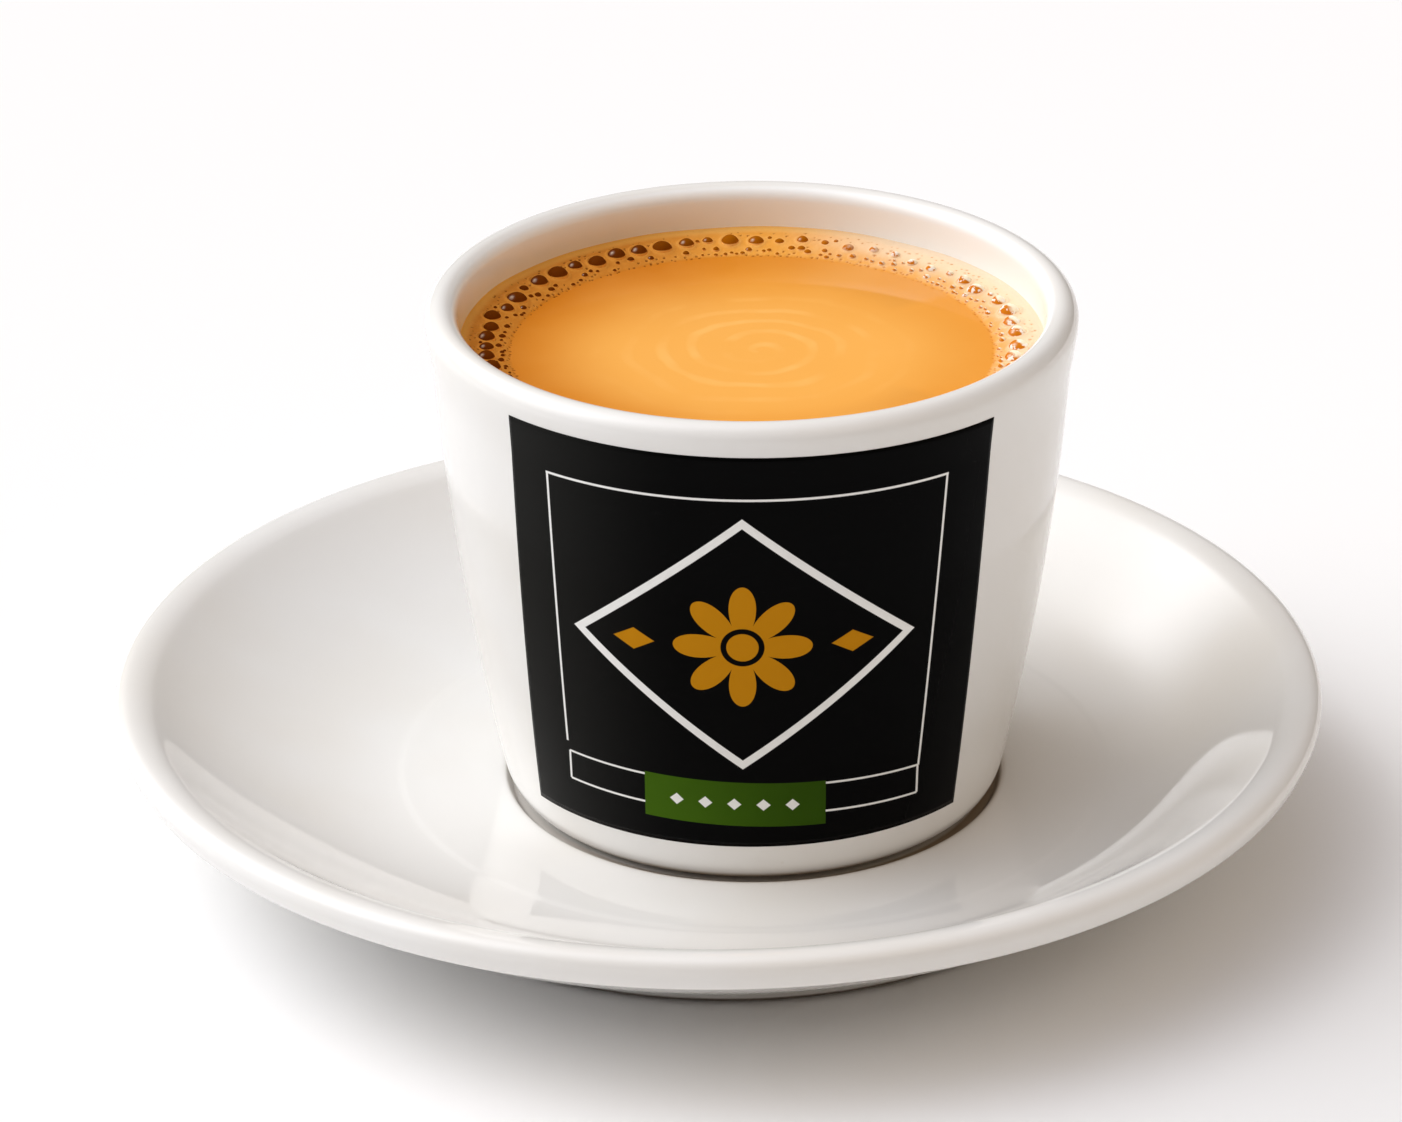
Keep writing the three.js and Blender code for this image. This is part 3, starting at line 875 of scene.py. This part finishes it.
bubblePattern = {
    "cloudScale": 900.0, "glowEdge": (0.0, 0.9), "glowCloud": 0.6, "glowShare": 0.8,
    "rightSide": (0.25, 0.7), "shineEdge": (0.3, 0.6), "shineCloud": 0.9, "shineShare": 0.95,
    "glintScale": 1500.0, "glintEdge": (0.54, 0.6),
    "rimEdge": (0.02, 0.16), "rimCloud": 0.1, "highlightSpotShare": 0.75,
    "roughness": 0.12, "ior": 1.03,
}


def domeLook(name):
    # a bubble: the dark hollow behind its film, lighter on one side with painted light through it,
    # with a pale rim where the film meets the froth and a painted highlight spot on some; on the
    # right-hand ones the film has a painted highlight above, is clear below and has painted white glints
    look = Look(name)
    t = teaColours
    p = bubblePattern
    side = look.attribute("side")
    cloud = look.noise(look.place(), p["cloudScale"]) - 0.5
    # hollow tones by side: painted shade at the left, painted light at the right
    hollow = sideTone(look, side, "hollowLeft", "hollowBack", "hollowRight")
    # painted light shining through the bubble onto its far side
    glowTone = sideTone(look, side, "hollowBack", "hollowRight", "golden")
    glow = look.step(*p["glowEdge"], look.attribute("glow") + p["glowCloud"] * cloud)
    colour = look.mix(glow * p["glowShare"], hollow, glowTone)
    right = look.step(*p["rightSide"], side)
    # painted highlight on the upper film of the right-hand bubbles
    shine = look.step(*p["shineEdge"], look.attribute("shine") + p["shineCloud"] * cloud)
    colour = look.mix(shine * right * p["shineShare"], colour, t["film"])
    # painted white glints on the right-hand bubbles
    glints = look.step(*p["glintEdge"], look.noise(look.place(), p["glintScale"])) * right
    colour = look.mix(glints * look.attribute("glint"), colour, t["glint"])
    rim = look.fade(*p["rimEdge"], look.attribute("lift") + p["rimCloud"] * cloud)
    colour = look.mix(rim, colour, sideTone(look, side, "golden", "pale", "cream"))
    # painted highlight spot on the film of some bubbles
    colour = look.mix(look.attribute("highlightSpot") * p["highlightSpotShare"], colour, t["highlightSpot"])
    return look.finish(baseColour=colour, roughness=p["roughness"], ior=p["ior"])


# printed panel: a thin skin round the wall, with a plain border, a rosette in a lozenge and a tab

printShape = {
    "bottom": 12.9, "top": 67.65, "topLean": 0.25, "middleBottom": -1.7, "middleTop": -0.5,
    "halfBottom": 29.1, "halfTop": 31.7, "columns": 160, "rows": 70, "proud": 0.05, "thick": 0.15,
}

printArt = {
    "line": 0.30, "soft": 0.045,
    "borderTop": 61.9, "leftTop": -26.3, "leftSlope": 0.0421, "leftEnd": 24.3,
    "rightTop": 24.0, "rightSlope": 0.0777, "rightPast": 0.7, "cornerPast": 0.18,
    "boxTop": 22.15, "boxBottom": 17.95, "boxTilt": 0.0305, "boxLeft": -24.4, "boxRight": 20.75,
    "tab": (-13.7, 8.4, 16.0, 22.5),  # left, right, foot and head
    "dots": 5, "dotSpace": 3.5, "dotSize": 0.85, "dotEdge": (0.92, 1.08), "dotsEnd": (0.0, 0.1),
    "centre": (-1.6, 42.0), "lozengeWide": 20.5, "lozengeTall": 16.8, "lozengeLine": 1.0,
    "petals": 8, "petalOut": 8.3, "petalIn": 3.2, "petalPower": 0.8, "heart": 1.9, "heartGap": 2.6,
    "sprigOut": 13.2, "sprigWide": 2.6, "sprigTall": 1.5, "sprigEdge": (0.95, 1.05),
    "black": (0.002, 0.002, 0.002), "blackReflectLeft": (0.014, 0.014, 0.013), "reflectLeftward": (8.0, 32.0),
    "white": (0.92, 0.92, 0.90), "worn": 0.92, "wornMore": 0.16, "wornScale": 700.0,
    "amber": (0.56, 0.235, 0.006), "green": (0.030, 0.075, 0.003), "greenLight": (0.052, 0.125, 0.005),
    "waver": 0.02, "waverStrength": 0.3, "waverScale": 120.0, "inkRise": 0.01, "inkStrength": 0.5,
    "roughness": 0.16, "roughnessMore": 0.06, "roughnessScale": 240.0, "inkRoughness": 0.06, "ior": 1.09,
}


def printMesh(p):
    # (middle + u half) is the arc along the wall at height z, whose top leans with u, and the skin
    # stands proud of the wall
    u, v = np.meshgrid(np.linspace(-1, 1, p["columns"] + 1), np.linspace(0, 1, p["rows"] + 1))
    z = p["bottom"] + (p["top"] - p["topLean"] * u - p["bottom"]) * v
    middle = p["middleBottom"] + (p["middleTop"] - p["middleBottom"]) * v
    half = p["halfBottom"] + (p["halfTop"] - p["halfBottom"]) * v
    along = middle + u * half
    angle = along / outerRadius(z)
    radius = outerRadius(z) + p["proud"]
    x = cupShape["centreX"] + radius * np.sin(angle)
    points = np.stack([x, -radius * np.cos(angle), z], 2).reshape(-1, 3)
    index = np.arange(points.shape[0]).reshape(z.shape)
    quads = [index[:-1, :-1], index[:-1, 1:], index[1:, 1:], index[1:, :-1]]
    faces = [np.stack([q.ravel() for q in quads], 1)]
    return points, faces, {"printAlong": along.ravel(), "printHigh": z.ravel()}


def printLook(name, p):
    # black field, a little greyer towards the left with a painted reflection, white lines, a rosette of
    # petals inside a lozenge line, and a green tab with dots; u runs along the wall and v up, in millimetres
    look = Look(name)
    place = look.place()
    u = look.attribute("printAlong")
    v = look.attribute("printHigh")
    soft = p["soft"]

    def above(limit, value):
        return look.step(limit - soft, limit + soft, value)

    def below(limit, value):
        return look.fade(limit - soft, limit + soft, value)

    def between(low, high, value):
        return above(low, value) * below(high, value)

    def band(distance):
        return below(p["line"] / 2, abs(distance))

    left = u - p["leftTop"] - p["leftSlope"] * (p["borderTop"] - v)
    right = u - p["rightTop"] + p["rightSlope"] * (p["borderTop"] - v)
    tilted = v + p["boxTilt"] * u
    within = above(0, left + p["cornerPast"]) * below(0, right - p["cornerPast"])
    across = between(p["boxLeft"], p["boxRight"], u)
    upright = between(p["boxBottom"], p["boxTop"], tilted)
    lines = band(v - p["borderTop"]) * within
    lines = lines.most(band(left) * between(p["leftEnd"], p["borderTop"], v))
    lines = lines.most(band(right) * between(p["boxTop"] - p["rightPast"], p["borderTop"], v))
    for edge in ("boxTop", "boxBottom"):
        lines = lines.most(band(tilted - p[edge]) * across)
    for edge in ("boxLeft", "boxRight"):
        lines = lines.most(band(u - p[edge]) * upright)

    cu = u - p["centre"][0]
    cv = v - p["centre"][1]
    slope = math.hypot(1 / p["lozengeWide"], 1 / p["lozengeTall"])
    lozenge = (abs(cu) / p["lozengeWide"] + abs(cv) / p["lozengeTall"] - 1.0) / slope
    lines = lines.most(below(p["lozengeLine"] / 2, abs(lozenge)))
    away = cu.size(cv)
    turn = cv.through("ARCTAN2", cu) * (p["petals"] / 2)
    wave = abs(turn.through("COSINE"))
    petal = p["petalIn"] + (p["petalOut"] - p["petalIn"]) * wave ** p["petalPower"]
    amber = below(0, away - petal) * above(p["heartGap"], away)
    amber = amber.most(below(p["heart"], away))
    sprig = abs(abs(cu) - p["sprigOut"]) / p["sprigWide"] + abs(cv) / p["sprigTall"]
    amber = amber.most(look.fade(*p["sprigEdge"], sprig))

    low, high, foot, head = p["tab"]
    tab = between(low, high, u) * between(foot, head, tilted)
    nearest = (u - (low + high) / 2) / p["dotSpace"]
    wrapped = (nearest - nearest.through("ROUND")) * p["dotSpace"]
    apart = (abs(wrapped) + abs(tilted - (foot + head) / 2)) / p["dotSize"]
    dots = look.fade(*p["dotEdge"], apart) * look.fade(*p["dotsEnd"], abs(nearest) - p["dots"] / 2)

    worn = p["worn"] + p["wornMore"] * look.noise(place, p["wornScale"])
    # painted reflection: the black turns greyer towards the left
    field = look.mix(look.step(*p["reflectLeftward"], 0.0 - u), p["black"], p["blackReflectLeft"])
    colour = look.mix(lines * worn, field, p["white"])
    colour = look.mix(amber, colour, p["amber"])
    green = look.mix(look.step(low, high, u), p["greenLight"], p["green"])
    colour = look.mix(tab, colour, green)
    colour = look.mix(tab * dots, colour, p["white"])
    inked = lines.most(amber).most(tab)
    normal = look.bump(look.noise(place, p["waverScale"]), p["waverStrength"], p["waver"] * mm)
    normal = look.bump(inked, p["inkStrength"], p["inkRise"] * mm, normal)
    rough = p["roughness"] + p["roughnessMore"] * look.noise(place, p["roughnessScale"])
    rough = rough + p["inkRoughness"] * inked
    return look.finish(baseColour=colour, roughness=rough, ior=p["ior"], normal=normal)


def addPrint(p, look):
    points, faces, attributes = printMesh(p)
    piece = addPiece("panel_print", points, faces, look, "printed_panel", attributes)
    skin = piece.modifiers.new("thickness", "SOLIDIFY")
    skin.thickness = p["thick"] * mm
    skin.offset = -1.0


# stage and light

stageSettings = {
    "floorHalf": 3000.0, "colour": (0.93, 0.93, 0.935), "shade": (0.8, 0.8, 0.8),
    "shadeShare": 0.03, "shadeScale": 3.0, "roughness": 0.7, "specular": 0.2,
}

skySettings = [
    # azimuth round from +X and elevation in degrees, narrowness, colour with its strength
    (180.0, 45.0, 9.0, (4.317, 4.38, 4.497)),
    (90.0, 90.0, 9.0, (0.936, 0.932, 1.062)),
    (135.0, 45.0, 9.0, (0.25, 0.23, 0.15)),
    (138.0, 35.0, 45.0, (4.0, 4.1, 4.3)),
    (135.0, 12.0, 9.0, (0.522, 0.421, 0.278)),
    (0.0, 12.0, 9.0, (0.83, 0.745, 0.64)),
    (315.0, 45.0, 9.0, (0.773, 0.584, 0.379)),
]


def direction(azimuth, elevation):
    # (cos a cos e, sin a cos e, sin e)
    a, e = math.radians(azimuth), math.radians(elevation)
    return Vector((math.cos(a) * math.cos(e), math.sin(a) * math.cos(e), math.sin(e)))


def addSky(lobes):
    # soft light from all round, each lobe its colour times exp(narrow (cosine of the angle to it - 1))
    sky = Look("studio", bpy.data.worlds.new("studio"))
    way = sky.node("ShaderNodeTexCoord", output="Generated")
    total = None
    for azimuth, elevation, narrow, colour in lobes:
        near = sky.node("ShaderNodeVectorMath", {"operation": "DOT_PRODUCT"},
                        {0: way, 1: direction(azimuth, elevation)}, output="Value")
        lobe = (near - 1.0) * narrow
        part = sky.mix(lobe.through("EXPONENT"), (0.0, 0.0, 0.0), colour)
        total = part if total is None else sky.mix(1.0, total, part, "ADD")
    light = sky.node("ShaderNodeBackground", None, {"Color": total})
    sky.node("ShaderNodeOutputWorld", None, {"Surface": light})
    bpy.context.scene.world = sky.material


def addFloor(s):
    look = Look("floorPaper")
    shade = look.noise(look.place(), s["shadeScale"]) * s["shadeShare"]
    tone = look.mix(shade, s["colour"], s["shade"])
    half = s["floorHalf"] * mm
    corners = [(-half, -half, 0), (half, -half, 0), (half, half, 0), (-half, half, 0)]
    mesh = bpy.data.meshes.new("floor")
    mesh.from_pydata(corners, [], [(0, 1, 2, 3)])
    mesh.materials.append(look.finish(baseColour=tone, roughness=s["roughness"], specular=s["specular"]))
    floor = bpy.data.objects.new("floor", mesh)
    bpy.context.scene.collection.objects.link(floor)


addCamera(cameraSettings)
addFloor(stageSettings)
addSky(skySettings)
bpy.context.scene.view_settings.view_transform = "Standard"
print("camera, floor and lights are set")

profile = softened(saucerProfile(saucerShape), saucerShape)
centre = saucerCentre(saucerShape, profile)
addTurned("saucer_glazed", saucerShape, profile, centre, glazeLook("saucerGlaze", saucerShape), "saucer")

profile = softened(cupProfile(cupShape), cupShape)
centre = np.full(len(profile), cupShape["centreX"])
addTurned("cup_glazed", cupShape, profile, centre, glazeLook("cupGlaze", cupShape), "cup")

large = largeBubbles(bubbleRow)
small = smallBubbles(fineBubbles, large)
domed = small[:, 2] >= fineBubbles["domeFrom"]
print(len(large), "large bubbles,", domed.sum(), "small domes and", (~domed).sum(), "pits")
points, faces, attributes = drinkMesh(np.concatenate([large, small[domed]]), small[~domed])
addPiece("chai_drink", points, faces, teaLook("milkyTea"), "chai", attributes)
largeDomes = domeMesh(large, domeShape, domeLight)
smallDomes = domeMesh(small[domed], smallDomeShape, domeLight)
points, faces, attributes = joinedMeshes(largeDomes, smallDomes)
addPiece("froth_bubbles", points, faces, domeLook("bubbleFilm"), attributes=attributes)
addPrint(printShape, printLook("firedPrint", printArt))
